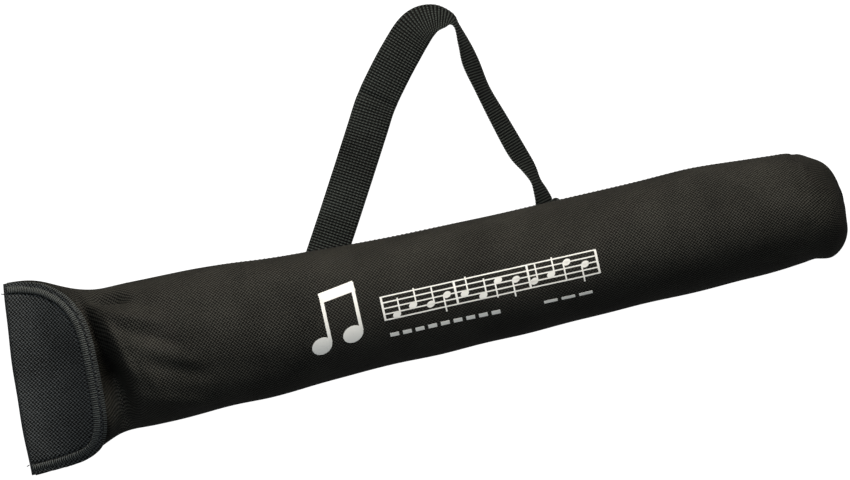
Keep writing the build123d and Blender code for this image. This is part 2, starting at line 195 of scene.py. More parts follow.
def bag_surface(s, phi):
    """Points of the bag's outer face; phi is 0 at +Y and a quarter turn at the top."""
    s, phi = np.broadcast_arrays(np.asarray(s, float), np.asarray(phi, float))
    half = np.interp(s, GRID, HALF_WIDTHS)
    top = np.interp(s, GRID, TOPS)
    rounding = np.clip((s - END_ROUND) / (BAG_END - END_ROUND), 0, 1)
    shrink = np.sqrt(np.clip(1 - rounding ** 2.0, 0, 1))
    half = END_HALF + (half - END_HALF) * shrink
    middle = (top + BOTTOM) / 2
    rise = END_RISE + ((top - BOTTOM) / 2 - END_RISE) * shrink
    y = half * np.cos(phi) + middle_of_bag(s)
    z = middle + rise * np.sin(phi)
    mouth = ease((s - 20) / 60)
    body = ease((s - 92) / 60) * (1 - ease((s - 575) / 30))
    lift = 0.35 * waves(s, phi, 3, 9, 90, 5) * mouth
    lift = lift + 0.45 * waves(s, phi, 4, 6, 240, 3) * body
    lift = lift + 0.45 * waves(s, phi, 6, 7, 30, 9) * ease((s - 568) / 30) * (1 - 0.4 * rounding)
    lift = lift + folds(s, y, ease((np.sin(phi) + 0.1) / 0.35) * ease((s - 50) / 12))
    # The end seam pulls in and the cloth bulges on both sides of it.
    near_seam = 0.25 + 0.75 * ease(np.cos(phi))
    lift = lift - 0.7 * bump(s, END_SEAM, 1.8) * near_seam + 0.2 * bump(s, END_SEAM - 6, 5)
    # One soft dent in the closed end.
    lift = lift - 2.2 * bump(y, 15, 7) * ease((s - 596) / 14) * ease(np.sin(phi) + 0.9)
    # The side seam makes a narrow valley.
    lift = lift - 0.8 * bump(phi, SEAM_PHI, 0.03) * ease((s - 84) / 12)
    y = y + lift * np.cos(phi)
    z = z + lift * np.sin(phi)
    # The underside flattens on the table.
    z = 0.5 * (z + np.sqrt(z * z + 0.9)) - 0.05
    return np.stack([s - MID + fold_shift(s, y), y, z], -1)


def lifted(s, phi, height):
    """Bag surface raised along its normal."""
    step = 0.6
    angle = 0.012
    s, phi = np.broadcast_arrays(np.asarray(s, float), np.asarray(phi, float))
    across = bag_surface(s, phi + angle) - bag_surface(s, phi - angle)
    along = bag_surface(s + step, phi) - bag_surface(s - step, phi)
    normal = np.cross(across, along)
    normal /= np.maximum(np.linalg.norm(normal, axis=-1, keepdims=True), 1e-9)
    return bag_surface(s, phi) + normal * np.asarray(height)[..., None]


def angle_at(s, y):
    """The phi of a Y on the front of the bag."""
    half = np.interp(s, GRID, HALF_WIDTHS)
    return np.arccos(np.clip((y - middle_of_bag(s)) / half, -1, 1))


# ------------------------------------------------------------------ mesh helpers
def mesh_object(name, points, faces, uvs=None, smooth=True):
    """Mesh from points in millimetres; uvs has one pair for each point."""
    mesh = bpy.data.meshes.new(name)
    mesh.from_pydata((np.asarray(points).reshape(-1, 3) * MM).tolist(), [], faces)
    if uvs is not None:
        layer = mesh.uv_layers.new(name="cloth")
        corner = np.empty(len(mesh.loops), int)
        mesh.loops.foreach_get("vertex_index", corner)
        layer.data.foreach_set("uv", (np.asarray(uvs).reshape(-1, 2) * MM)[corner].ravel())
    if smooth:
        mesh.polygons.foreach_set("use_smooth", [True] * len(mesh.polygons))
    mesh.validate()
    mesh.update()
    obj = bpy.data.objects.new(name, mesh)
    bpy.context.scene.collection.objects.link(obj)
    return obj


def grid_faces(rows, columns, wrap=False, flip=False):
    """Quads of a grid of points, row by row; wrap closes each row."""
    faces = []
    for i in range(rows - 1):
        for j in range(columns if wrap else columns - 1):
            k = (j + 1) % columns
            quad = (i * columns + j, i * columns + k, (i + 1) * columns + k, (i + 1) * columns + j)
            faces.append(quad[::-1] if flip else quad)
    return faces


def grid_object(name, points, uvs, flip=False):
    """Grid of points (rows, columns, 3) as one smooth sheet."""
    rows, columns = points.shape[:2]
    return mesh_object(name, points, grid_faces(rows, columns, flip=flip), uvs)


def layer_faces(rows, columns):
    """Faces of a thin closed layer: a grid of points on top, then the same grid below."""
    count = rows * columns
    faces = grid_faces(rows, columns)
    faces += [tuple(i + count for i in face[::-1]) for face in faces]
    rim = list(range(columns)) + [i * columns + columns - 1 for i in range(1, rows)]
    rim += [(rows - 1) * columns + j for j in range(columns - 2, -1, -1)]
    rim += [i * columns for i in range(rows - 2, 0, -1)]
    return faces + [(b, a, a + count, b + count) for a, b in zip(rim, rim[1:] + rim[:1])]


def tube_faces(rings, around):
    """Faces of a closed tube: rings of points and a cap on each end."""
    faces = grid_faces(rings, around, wrap=True)
    faces.append(tuple(range(around))[::-1])
    faces.append(tuple(range((rings - 1) * around, rings * around)))
    return faces


def apply_modifiers(obj):
    """Replace the object's mesh with its evaluated one."""
    graph = bpy.context.evaluated_depsgraph_get()
    mesh = bpy.data.meshes.new_from_object(obj.evaluated_get(graph))
    obj.modifiers.clear()
    obj.data = mesh
    return obj


def outward(obj):
    """Turn the faces of a closed piece outwards."""
    work = bmesh.new()
    work.from_mesh(obj.data)
    bmesh.ops.recalc_face_normals(work, faces=work.faces)
    work.to_mesh(obj.data)
    work.free()
    return obj


def crisp(obj, limit=50):
    """Keep the shading of a sheet's faces apart from that of its cut edges."""
    work = bmesh.new()
    work.from_mesh(obj.data)
    for edge in work.edges:
        if len(edge.link_faces) == 2 and edge.calc_face_angle(0) > radians(limit):
            edge.smooth = False
    work.to_mesh(obj.data)
    work.free()
    return obj


def thicken(obj, thickness, inward=True):
    """Give a sheet the cloth's thickness."""
    solid = obj.modifiers.new("Cloth", "SOLIDIFY")
    solid.thickness = thickness * MM
    solid.offset = -1 if inward else 1
    solid.use_even_offset = False
    return crisp(apply_modifiers(obj))


# ------------------------------------------------------------------ materials
def new_material(name, color, roughness, **sockets):
    """Principled material with constant sockets."""
    material = bpy.data.materials.new(name)
    material.use_nodes = True
    shader = material.node_tree.nodes["Principled BSDF"]
    shader.inputs["Base Color"].default_value = (*color, 1)
    shader.inputs["Roughness"].default_value = roughness
    for key, value in sockets.items():
        shader.inputs[key.replace("_", " ")].default_value = value
    return material, material.node_tree, shader


def math_node(tree, operation, a, b=0.0):
    """Two-value arithmetic; a and b are sockets or numbers."""
    made = tree.nodes.new("ShaderNodeMath")
    made.operation = operation
    for socket, value in zip(made.inputs, (a, b)):
        if isinstance(value, (int, float)):
            socket.default_value = value
        else:
            tree.links.new(value, socket)
    return made.outputs[0]


def cloth_coordinates(tree):
    """U and V of the cloth, in metres along it."""
    source = tree.nodes.new("ShaderNodeUVMap")
    source.uv_map = "cloth"
    parts = tree.nodes.new("ShaderNodeSeparateXYZ")
    tree.links.new(source.outputs[0], parts.inputs[0])
    return source.outputs[0], parts.outputs[0], parts.outputs[1]


def plus(tree, a, b):
    """Sum of two sockets or numbers."""
    return math_node(tree, "ADD", a, b)


def times(tree, a, b):
    """Product of two sockets or numbers."""
    return math_node(tree, "MULTIPLY", a, b)


def half_wave(tree, coordinate, pitch):
    """0 to 1 wave."""
    wave = math_node(tree, "SINE", times(tree, coordinate, TAU / (pitch * MM)))
    return plus(tree, times(tree, wave, 0.5), 0.5)


def relieve(tree, shader, height, depth):
    """Bump socket of a shader; depth is in millimetres."""
    made = tree.nodes.new("ShaderNodeBump")
    made.inputs["Distance"].default_value = depth * MM
    tree.links.new(height, made.inputs["Height"])
    tree.links.new(made.outputs[0], shader.inputs["Normal"])
    return made


def noise(tree, vector, scale, detail=3.0, rough=0.55):
    """Noise factor socket."""
    made = tree.nodes.new("ShaderNodeTexNoise")
    made.inputs["Scale"].default_value = scale
    made.inputs["Detail"].default_value = detail
    made.inputs["Roughness"].default_value = rough
    tree.links.new(vector, made.inputs["Vector"])
    return made.outputs["Fac"]


def ramp(tree, value, stops):
    """Colour ramp from (position, grey or colour) stops."""
    made = tree.nodes.new("ShaderNodeValToRGB")
    elements = made.color_ramp.elements
    while len(elements) < len(stops):
        elements.new(0.5)
    for element, (place, color) in zip(elements, stops):
        element.position = place
        element.color = (*color, 1) if hasattr(color, "__len__") else (color, color, color, 1)
    tree.links.new(value, made.inputs[0])
    return made.outputs[0]


CLOTH_GLOSS = 0.1


def ribbed(tree, u, v, rib_pitch, pitch):
    """Height of ribs across U, each broken up along V."""
    rib = math_node(tree, "POWER", half_wave(tree, u, rib_pitch), 0.7)
    return times(tree, rib, plus(tree, times(tree, half_wave(tree, v, pitch), 0.55), 0.45))


def basket(tree, u, v, pitch, angle):
    """Height of a basket weave: one set of threads shows where the other dips under."""
    turn_c, turn_s = cos(radians(angle)), sin(radians(angle))
    warp = plus(tree, times(tree, u, turn_c), times(tree, v, turn_s))
    weft = math_node(tree, "SUBTRACT", times(tree, v, turn_c), times(tree, u, turn_s))
    over = half_wave(tree, plus(tree, warp, weft), 2 * pitch)
    under = math_node(tree, "SUBTRACT", 1.0, over)
    first = times(tree, half_wave(tree, warp, pitch), over)
    second = times(tree, half_wave(tree, weft, pitch), under)
    return plus(tree, first, second)


def woven(name, dark, light, pitch, angle=0, relief=0.5, roughness=0.6, sheen=0.0, ribs=0.0):
    """Woven cloth, ribbed or in a basket weave, with uneven yarn and faint wear."""
    material, tree, shader = new_material(name, light, roughness, Sheen_Weight=sheen,
                                          Sheen_Roughness=0.45, Specular_IOR_Level=CLOTH_GLOSS)
    vector, u, v = cloth_coordinates(tree)
    height = ribbed(tree, u, v, ribs, pitch) if ribs else basket(tree, u, v, pitch, angle)
    yarn = noise(tree, vector, 700, 3.0, 0.7)
    patches = noise(tree, vector, 22, 4.0)
    shade = plus(tree, times(tree, height, 0.55), times(tree, yarn, 0.5))
    wear = times(tree, math_node(tree, "SUBTRACT", patches, 0.5), 0.35)
    color = ramp(tree, plus(tree, shade, wear), ((0.38, dark), (0.82, light)))
    tree.links.new(color, shader.inputs["Base Color"])
    rough = plus(tree, times(tree, yarn, 0.25), roughness - 0.12)
    tree.links.new(rough, shader.inputs["Roughness"])
    bumps = relieve(tree, shader, plus(tree, height, times(tree, yarn, 0.5)), relief)
    bumps.inputs["Strength"].default_value = 0.9
    return material


def solid_finish(name, color, roughness, metallic=0.0, grain=600, relief=0.03, wear=0.25,
                 **sockets):
    """Painted, plated or moulded finish with a fine grain and uneven gloss."""
    material, tree, shader = new_material(name, color, roughness, **sockets)
    shader.inputs["Metallic"].default_value = metallic
    source = tree.nodes.new("ShaderNodeTexCoord")
    vector = source.outputs["Object"]
    fine = noise(tree, vector, grain, 3.0)
    broad = noise(tree, vector, 60, 4.0)
    dim = tuple(c * (1 - wear) for c in color)
    bright = tuple(min(1, c * (1 + wear)) for c in color)
    tree.links.new(ramp(tree, broad, ((0.3, dim), (0.7, bright))), shader.inputs["Base Color"])
    rough = plus(tree, times(tree, fine, 0.2), roughness - 0.1)
    tree.links.new(rough, shader.inputs["Roughness"])
    relieve(tree, shader, fine, relief)
    return material


RIB_PITCH = 2.1
nylon = woven("nylon_body", (0.0010, 0.0011, 0.0010), (0.046, 0.0455, 0.0395), 1.8, angle=45)
# The flap's nylon is the body's cloth with its weave at another angle. Its colour is painted lighter
# and bluer than the body's as a painted highlight for the light that the flap catches; the flap's fold
# shares it.
flap_nylon_painted_light = woven("nylon_flap_painted_light", (0.0005, 0.0006, 0.0006), (0.066, 0.073, 0.077), 2.0, angle=38)
webbing = woven("webbing", (0.0003, 0.0003, 0.0003), (0.046, 0.055, 0.051), 2.4,
                relief=0.7, ribs=RIB_PITCH)
tape = woven("binding_tape", (0.0006, 0.0007, 0.0007), (0.105, 0.115, 0.113), 24, ribs=1.6)
hooks = woven("hook_and_loop", (0.002, 0.002, 0.002), (0.012, 0.012, 0.012), 1.6,
              angle=20, relief=0.8, roughness=0.8, sheen=0.1)
thread = solid_finish("thread", (0.004, 0.004, 0.004), 0.6, relief=0.05, Specular_IOR_Level=0.2)
ink = solid_finish("print_ink", (0.80, 0.80, 0.78), 0.55, grain=900, relief=0.05, wear=0.04)

FINISHES = {
    "black_steel": solid_finish("black_steel", (0.018, 0.018, 0.020), 0.38,
                                grain=500, wear=0.2, Coat_Weight=0.25),
    "plated_steel": solid_finish("plated_steel", (0.62, 0.62, 0.64), 0.24, metallic=1.0,
                                 grain=300, relief=0.01, wear=0.12),
    "black_plastic": solid_finish("black_plastic", (0.016, 0.016, 0.016), 0.5,
                                  grain=900, relief=0.06, wear=0.15),
    "rubber": solid_finish("rubber", (0.012, 0.012, 0.012), 0.8,
                           grain=700, relief=0.08, wear=0.2),
}
for entry in frame["record"]["subparts"]:
    if entry["material_slot"] in FINISHES:
        target = frame["nodes"][entry["node"]]
        target.data.materials.clear()
        target.data.materials.append(FINISHES[entry["material_slot"]])


def dress(obj, material, slot, *nodes):
    """Give a piece its material and hide the CAD nodes that it stands for; slot is not used."""
    obj.data.materials.clear()
    obj.data.materials.append(material)
    if nodes:
        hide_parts(*nodes)
    return obj


# ------------------------------------------------------------------ bag body
def arc_uv(s, phi):
    """Cloth coordinates: distance along the bag and an arc's length round it."""
    s, phi = np.broadcast_arrays(s, phi)
    return np.stack([s, phi * ARC], -1)


def bag_body():
    """The tube of the bag with its closed end."""
    turns = np.linspace(0, TAU, 181)[:-1]
    straight = np.linspace(PANEL_JOIN, END_ROUND, 280)
    rounded = END_ROUND + (BAG_END - END_ROUND) * np.sin(np.linspace(0, pi / 2, 18)[1:])
    stations = np.concatenate([straight, rounded])
    points = bag_surface(stations[:, None], turns[None, :])
    uvs = arc_uv(stations[:, None], turns[None, :])
    centre = points[-1].mean(0)
    rings = [points]
    ring_uvs = [uvs]
    dent = 0.6 * waves(turns * 12, turns, 9, 5, 30, 6)
    for share in (0.86, 0.68, 0.48, 0.28, 0.1):
        ring = centre + (points[-1] - centre) * share
        ring[:, 0] += 1.2 * (1 - share ** 2) + dent * share * (1 - share) * 2.5
        rings.append(ring[None])
        ring_uvs.append(uvs[-1:] + np.array([15 * (1 - share), 0]))
    points = np.concatenate(rings)
    uvs = np.concatenate(ring_uvs)
    rows, columns = points.shape[:2]
    faces = grid_faces(rows, columns, wrap=True)
    last = rows * columns
    points = np.concatenate([points.reshape(-1, 3), centre[None] + [1.2, 0, 0]])
    uvs = np.concatenate([uvs.reshape(-1, 2), uvs[-1, :1].reshape(-1, 2) + [3, 0]])
    start = (rows - 1) * columns
    faces += [(last, start + j, start + (j + 1) % columns) for j in range(columns)]
    return mesh_object("bag_body", points, faces, uvs)


def panel(name, s0, s1, rows, phi0, phi1, columns):
    """Part of the mouth between two distances and two angles."""
    stations = np.linspace(s0, s1, rows)
    turns = np.linspace(phi0, phi1, columns)
    points = bag_surface(stations[:, None], turns[None, :])
    return grid_object(name, points, arc_uv(stations[:, None], turns[None, :]))


body = thicken(bag_body(), CLOTH)
back = thicken(panel("mouth_back", 0, PANEL_JOIN, 60, pi, TAU, 120), CLOTH)
dress(body, nylon, "nylon", "body_panel", "end_cap", "end_seam_piping", "side_seam")
dress(back, nylon, "nylon", "mouth_back_panel")
for piece in (body, back):
    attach(piece, "bag")

# The front of the mouth opens in its middle and stays sewn to the back at its sides.
UNDERLAP = 12


def front_half(name, side):
    """One half of the mouth's front panel, tucked a little under the body."""
    stations = np.concatenate([np.linspace(1.5, PANEL_JOIN, 64),
                               PANEL_JOIN + np.linspace(2, UNDERLAP, 5)])
    turns = np.linspace(0, pi / 2, 76) if side > 0 else np.linspace(pi / 2, pi, 76)
    inset = 0.9 * ease((stations - PANEL_JOIN) / 3)
    points = lifted(stations[:, None], turns[None, :], -inset[:, None] * np.ones((1, len(turns))))
    half = grid_object(name, points, arc_uv(stations[:, None], turns[None, :]))
    return thicken(half, CLOTH)


def bend_with_lip(obj):
    """Bake the piece's placement into its mesh."""
    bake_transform(obj)


front = {}
for side, half_name in ((1, "mouth_front_upper"), (-1, "mouth_front_lower")):
    front[side] = front_half(half_name, side)
    dress(front[side], nylon, "nylon", "mouth_front_panel")
    bend_with_lip(front[side])


def patch_on_bag(name, s0, s1, rows, y0, y1, columns, low, high, crown=0.3):
    """A closed, slightly crowned strip of cloth lying on the front of the bag."""
    stations = np.linspace(s0, s1, rows)[:, None]
    across = np.linspace(y0, y1, columns)[None, :]
    phi = angle_at(stations, across)
    p = np.linspace(-1, 1, rows)[:, None] ** 4
    q = np.linspace(-1, 1, columns)[None, :] ** 4
    edge = 1 - crown * np.maximum(p, q) * np.ones_like(phi)
    top = lifted(stations, phi, low + (high - low) * edge)
    bottom = lifted(stations, phi, np.full(phi.shape, low))
    uvs = np.stack([np.broadcast_to(stations, phi.shape), np.broadcast_to(across, phi.shape)], -1)
    uvs = np.concatenate([uvs.reshape(-1, 2)] * 2)
    points = np.concatenate([top.reshape(-1, 3), bottom.reshape(-1, 3)])
    return outward(mesh_object(name, points, layer_faces(rows, columns), uvs))


HEM_HALF = 62
for side, hem_name in ((1, "mouth_hem_upper"), (-1, "mouth_hem_lower")):
    low_y, high_y = sorted((0, side * HEM_HALF))
    hem = patch_on_bag(hem_name, 1, 7.5, 8, low_y, high_y, 60, -0.7, 0.9)
    dress(hem, tape, "binding", "mouth_hem")
    bend_with_lip(hem)

loop_patch = patch_on_bag("loop_patch_cloth", 22, 44, 24, -17, 17, 32, 0.05, 1.0)
dress(loop_patch, hooks, "hook_and_loop", "loop_patch")
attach(loop_patch, "mouth_lip")

# ------------------------------------------------------------------ flap
FLAP_LIFT = 2.4
FLAP_THICK = 1.3
TAPE_WIDTH = 8.2
STITCH_PITCH = 3.6
# The flap's free outline: place along its fold and reach over the bag.
FLAP_OUTLINE = smooth_route(np.array([
    (-71.3, 0), (-71.1, 10), (-70.4, 22), (-68.4, 37), (-65, 46), (-59.5, 52.5), (-50, 57),
    (-38, 59.3), (-20, 60.3), (0, 60.4), (15, 60), (28, 58.3), (38, 55.2), (47, 50.3),
    (54, 44.5), (60, 37), (64.8, 28.5), (68, 18), (70.2, 8), (71.3, 0)], float), 12)


def flap_depth(v):
    """How far the flap reaches over the bag at a place v along its fold, -71 to 71."""
    return np.interp(v, FLAP_OUTLINE[:, 0], FLAP_OUTLINE[:, 1])


def flap_surface(s, y, height):
    """Points of the closed flap at a height over its underside."""
    half = np.interp(s, GRID, HALF_WIDTHS)
    top = np.interp(s, GRID, TOPS)
    side = np.sqrt(np.clip(1 - (y / (half + 6)) ** 2, 0.02, 1))
    z = (top + BOTTOM) / 2 + (top - BOTTOM) / 2 * side
    z = z + 0.5 * np.sin(s / 9 + y / 16) * ease(s / 20) - 1.2 * bump(s, 26, 12) * bump(y, -10, 34)
    z = z + 2.2 * ease((s - 40) / 22)
    slope = np.gradient(TOPS, STEP)[np.clip(((s + 20) / STEP).astype(int), 0, len(TOPS) - 1)]
    tilt = 1 / np.sqrt(1 + slope ** 2)
    rise = FLAP_LIFT + height
    slant = 0.65 * fold_shift(s, y) + 0.35 * fold_shift(0, y)
    slant = slant + 0.35 * FOLD_BOW * (1 - (y / FLAT_HALF) ** 2) * ease(s / BOW_FADE)
    x = s - MID + slant - slope * tilt * rise
    return np.stack([x, y, z + tilt * rise], -1)


def flap_edge(samples=301):
    """Points of the flap's free edge, evenly spaced, from one end of the fold to the other."""
    line = FLAP_OUTLINE[:, ::-1]
    length = np.concatenate([[0], np.cumsum(np.linalg.norm(np.diff(line, axis=0), axis=1))])
    even = np.linspace(0, length[-1], samples)
    line = np.stack([np.interp(even, length, line[:, k]) for k in (0, 1)], -1)
    ahead = np.gradient(line, axis=0)
    ahead /= np.linalg.norm(ahead, axis=1, keepdims=True)
    inward = np.stack([-ahead[:, 1], ahead[:, 0]], -1)
    return line, inward, even


def flap_sheet():
    """The flap's cloth, from its fold to inside its binding, pulled down beside the tape."""
    v = FLAT_HALF * np.sin(np.linspace(-pi / 2, pi / 2, 201)) * 0.985
    share = np.linspace(0, 1, 86)[:, None]
    s = share * np.maximum(flap_depth(v) - 1.5, 0.5)[None, :]
    y = np.broadcast_to(v[None, :], s.shape)
    line, _, _ = flap_edge()
    to_edge = np.hypot(s[..., None] - line[:, 0], y[..., None] - line[:, 1]).min(-1)
    points = flap_surface(s, y, -1.1 * bump(to_edge, TAPE_WIDTH, 1.5))
    return grid_object("flap_cloth", points, np.stack([s, y], -1), flip=True)


flap = thicken(flap_sheet(), FLAP_THICK, inward=False)


def flap_binding():
    """Folded tape round the flap's free edge: a ribbed rim that falls away to the edge."""
    line, inward, even = flap_edge()
    # Across the tape: distance in from the edge and height over the flap's underside.
    profile = [(TAPE_WIDTH, 0.3), (TAPE_WIDTH - 0.1, 1.0), (TAPE_WIDTH - 0.5, 1.9),
               (TAPE_WIDTH - 1.1, 2.4), (6.1, 2.6), (5.2, 2.6), (4.3, 2.3), (3.5, 1.7), (2.8, 1.0),
               (2.1, 0.3), (1.4, -0.3), (0.7, -0.8), (0.15, -1.1), (0, -1.3), (0.2, -1.5)]
    for t in np.linspace(0.15, 1, 7):
        profile.append((TAPE_WIDTH * t, -1.6 + 0.7 * t))
    rows = []
    uvs = []
    for depth, height in profile:
        place = line + inward * depth
        s = np.clip(place[:, 0], 0.0, None)
        y = np.clip(place[:, 1], -70.9, 70.9)
        pucker = 0.16 * np.sin(even * TAU / STITCH_PITCH) * (1 if height > FLAP_THICK else 0)
        rows.append(flap_surface(s, y, height + pucker))
        uvs.append(np.stack([even, np.full(even.shape, depth)], -1))
    points = np.array(rows)
    count, columns = points.shape[:2]
    faces = grid_faces(count, columns, flip=True)
    last = (count - 1) * columns
    faces += [(last + j, last + j + 1, j + 1, j) for j in range(columns - 1)]
    faces.append(tuple(i * columns for i in range(count)))
    faces.append(tuple(i * columns + columns - 1 for i in range(count))[::-1])
    return outward(mesh_object("flap_binding_tape", points, faces, np.array(uvs)))


def capsule(centre, along, up, length, radius, segments=8):
    """Points and faces of one stitch: a short thread, round in section."""
    along = along / np.linalg.norm(along)
    side = np.cross(up, along)
    side /= np.linalg.norm(side)
    up = np.cross(along, side)
    points = []
    stations = ((-0.5, 0.15), (-0.42, 0.7), (-0.2, 1.0), (0.2, 1.0), (0.42, 0.7), (0.5, 0.15))
    for t, width in stations:
        sink = -radius * 1.2 * (2 * abs(t)) ** 3
        for k in range(segments):
            a = TAU * k / segments
            ring = (side * cos(a) + up * sin(a)) * radius * width
            points.append(centre + along * (t * length) + up * sink + ring)
    return points, tube_faces(len(stations), segments)


def stitches(name, centres, alongs, ups, length, radius):
    """A row of stitches as one piece."""
    points = []
    faces = []
    for centre, along, up in zip(centres, alongs, ups):
        more, quads = capsule(np.array(centre), np.array(along), np.array(up), length, radius)
        faces += [tuple(i + len(points) for i in quad) for quad in quads]
        points += more
    made = outward(mesh_object(name, np.array(points), faces))
    made.data.materials.append(thread)
    return made


def edge_stitches():
    """Stitches that hold the binding."""
    line, inward, _ = flap_edge(1041)
    place = line + inward * (TAPE_WIDTH - 0.3)
    s = np.clip(place[:, 0], 0.2, None)
    points = flap_surface(s, np.clip(place[:, 1], -70, 70), FLAP_THICK + 0.2)
    ahead = np.gradient(points, axis=0)
    pick = list(range(10, len(points) - 10, 12))
    centres = list(points[pick])
    alongs = list(ahead[pick])
    # A loose end of thread sticks out at each end of the row.
    for end, lean in ((0, -0.35), (-1, 0.35)):
        centres.append(points[end] + [-3.4, 0, 0.4])
        alongs.append(np.array([-1, lean, 0.1]))
    ups = [np.array([-0.45, 0, 0.9])] * len(centres)
    return stitches("flap_stitches", centres, alongs, ups, 2.6, 0.36)


binding = flap_binding()
dress(flap, flap_nylon_painted_light, "nylon", "flap_panel")
dress(binding, tape, "binding", "flap_binding")
flap_row = edge_stitches()
for piece in (flap, binding, flap_row):
    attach(piece, "flap")

hook_patch = patch_on_bag("hook_patch_cloth", 24, 42, 20, -16, 16, 30, 1.1, 2.3)
dress(hook_patch, hooks, "hook_and_loop", "hook_patch")
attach(hook_patch, "flap")


FOLD_RADIUS = 5


def fold_wrap():
    """The cloth going round from the back of the mouth into the flap."""
    v = np.linspace(-FLAT_HALF, FLAT_HALF, 121) * 0.995
    turn = np.linspace(-pi / 2, pi / 2, 17)[:, None]
    start = flap_surface(np.zeros(v.shape), v, FLAP_THICK * 0.5)
    under = bag_surface(np.zeros(v.shape), -np.arccos(np.clip(v / FLAT_HALF, -1, 1)))
    middle = (start + under) / 2
    reach = (start[:, 2] - under[:, 2]) / 2
    points = np.repeat(middle[None], len(turn), 0)
    points[:, :, 2] += np.sin(turn) * reach[None]
    points[:, :, 0] -= np.cos(turn) * (2.6 + 0.2 * np.sin(v / 8))[None]
    uvs = np.stack(np.broadcast_arrays(turn * FOLD_RADIUS, v[None]), -1)
    return grid_object("flap_fold_cloth", points, uvs, flip=True)


fold = thicken(fold_wrap(), 1.0)
# The fold's cloth takes the flap's lighter, bluer colour, a painted highlight.
dress(fold, flap_nylon_painted_light, "nylon", "flap_fold")
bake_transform(fold)

# ------------------------------------------------------------------ seam stitches of the body
def seam_row(name, stations, phi, height, length):
    """Stitches along the bag at one angle."""
    points = lifted(stations, np.full(stations.shape, phi), np.full(stations.shape, height))
    ahead = np.gradient(points, axis=0)
    up = np.array([0, cos(phi), sin(phi)])
    row = stitches(name, points, ahead, [up] * len(points), length, 0.3)
    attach(row, "bag")


seam_row("side_seam_stitches", np.arange(PANEL_JOIN + 4, END_SEAM - 6, 3.4), SEAM_PHI + 0.05,
         0.1, 2.3)

# ------------------------------------------------------------------ carrying strap
WEBBING = 30.0
WEBBING_THICK = 1.5
CREASE_AT = 150
# Middle of the webbing: distance, Y, Z and the tilt of its width.
STRAP = np.array([
    (223, 14.5, 1.0, 0), (233, 31, 1.0, 0), (242, 46, 1.1, 0), (254, 66, 1.2, 0),
    (274, 100, 1.4, 0), (288, 124, 1.8, 1), (297, 139.5, 2.4, 3), (307, 153, 4.2, 3),
    (323, 172, 8.5, 7), (338.5, 187.5, 13, 18), (352.5, 192.3, 15.5, 43),
    (363.5, 189.5, 15.8, 66), (368.5, 184, 16, 82), (371, 170, 15.5, 74), (373, 154.5, 14.6, 66),
    (377.2, 133.5, 14.9, 69), (384.2, 109, 14.4, 65), (391.8, 84, 13.8, 63),
    (397.6, 70, 14.8, 70), (400.6, 60, 15.2, 76), (402.2, 52, 15.2, 71), (403, 45, 14.8, 66),
    (403, 38, 13.4, 59), (403.2, 31, 6.5, 20), (403, 24, 2.6, 6), (403, 14.5, 1.0, 0)])


def strap_mesh():
    """Ribbed ribbon, a little cupped and thinner at its edges; also gives its length."""
    route = smooth_route(STRAP)
    centre = np.stack([route[:, 0] - MID, route[:, 1], route[:, 2]], -1)
    length = np.concatenate([[0], np.cumsum(np.linalg.norm(np.diff(centre, axis=0), axis=1))])
    even = np.arange(0, length[-1], RIB_PITCH / 3)
    centre = np.stack([np.interp(even, length, centre[:, k]) for k in range(3)], -1)
    tilt = np.radians(np.interp(even, length, route[:, 3]))
    ahead = np.gradient(centre, axis=0)
    for _ in range(6):
        ahead[1:-1] = (ahead[:-2] + 2 * ahead[1:-1] + ahead[2:]) / 4
    ahead /= np.linalg.norm(ahead, axis=1, keepdims=True)
    inward = np.stack([ahead[:, 1], -ahead[:, 0], np.zeros(len(even))], -1)
    inward /= np.linalg.norm(inward, axis=1, keepdims=True)
    across = inward * np.cos(tilt)[:, None] + np.array([0, 0, 1]) * np.sin(tilt)[:, None]
    across -= ahead * (across * ahead).sum(1, keepdims=True)
    across /= np.linalg.norm(across, axis=1, keepdims=True)
    face = np.cross(ahead, across)
    profile = []
    half = WEBBING / 2
    for way in (1, -1):
        for t in np.linspace(-way, way, 31):
            thick = WEBBING_THICK * (1 - 0.35 * abs(t) ** 8)
            profile.append((half * t * 0.985, way * thick / 2))
        profile.append((way * half, 0))
    rib = 0.14 * np.sin(even * TAU / RIB_PITCH)
    crease = ease(1 - abs(even - CREASE_AT) / 5)
    points = []
    for wide, high in profile:
        cup = 0.5 * (wide / half) ** 2
        lift = high + np.sign(high) * rib - cup - 1.1 * crease
        points.append(centre + across * wide - face * lift[:, None])
    points = np.array(points).transpose(1, 0, 2)
    points[:, :, 2] = np.maximum(points[:, :, 2], 0.15)
    rows, columns = points.shape[:2]
    around = np.array([w for w, _ in profile])
    uvs = np.stack([np.broadcast_to(even[:, None], (rows, columns)),
                    np.broadcast_to(around[None], (rows, columns))], -1)
    made = mesh_object("strap_webbing", points, tube_faces(rows, columns), uvs)
    return outward(made), length[-1]


strap, strap_length = strap_mesh()
dress(strap, webbing, "webbing", "shoulder_strap", "strap_root_left", "strap_root_right")
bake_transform(strap)

# ------------------------------------------------------------------ white print
INK = 0.16


def print_patch(outline_rows):
    """Ink over the bag: a grid of (distance, Y) points, closed into a thin layer."""
    rows = np.array(outline_rows, float)
    s, y = rows[..., 0], rows[..., 1]
    phi = angle_at(s, y)
    top = lifted(s, phi, np.full(s.shape, INK))
    bottom = lifted(s, phi, np.full(s.shape, -0.05))
    return np.concatenate([top.reshape(-1, 3), bottom.reshape(-1, 3)]), layer_faces(*s.shape)


def bar(start, end, width, rows=2):
    """Straight bar between two (distance, Y) points."""
    a, b = np.array(start, float), np.array(end, float)
    along = (b - a) / np.linalg.norm(b - a)
    side = np.array([-along[1], along[0]]) * width / 2
    steps = max(2, int(np.linalg.norm(b - a) / 1.5))
    line = a + (b - a) * np.linspace(0, 1, steps)[:, None]
    return [line + side * t for t in np.linspace(1, -1, rows + 1)]


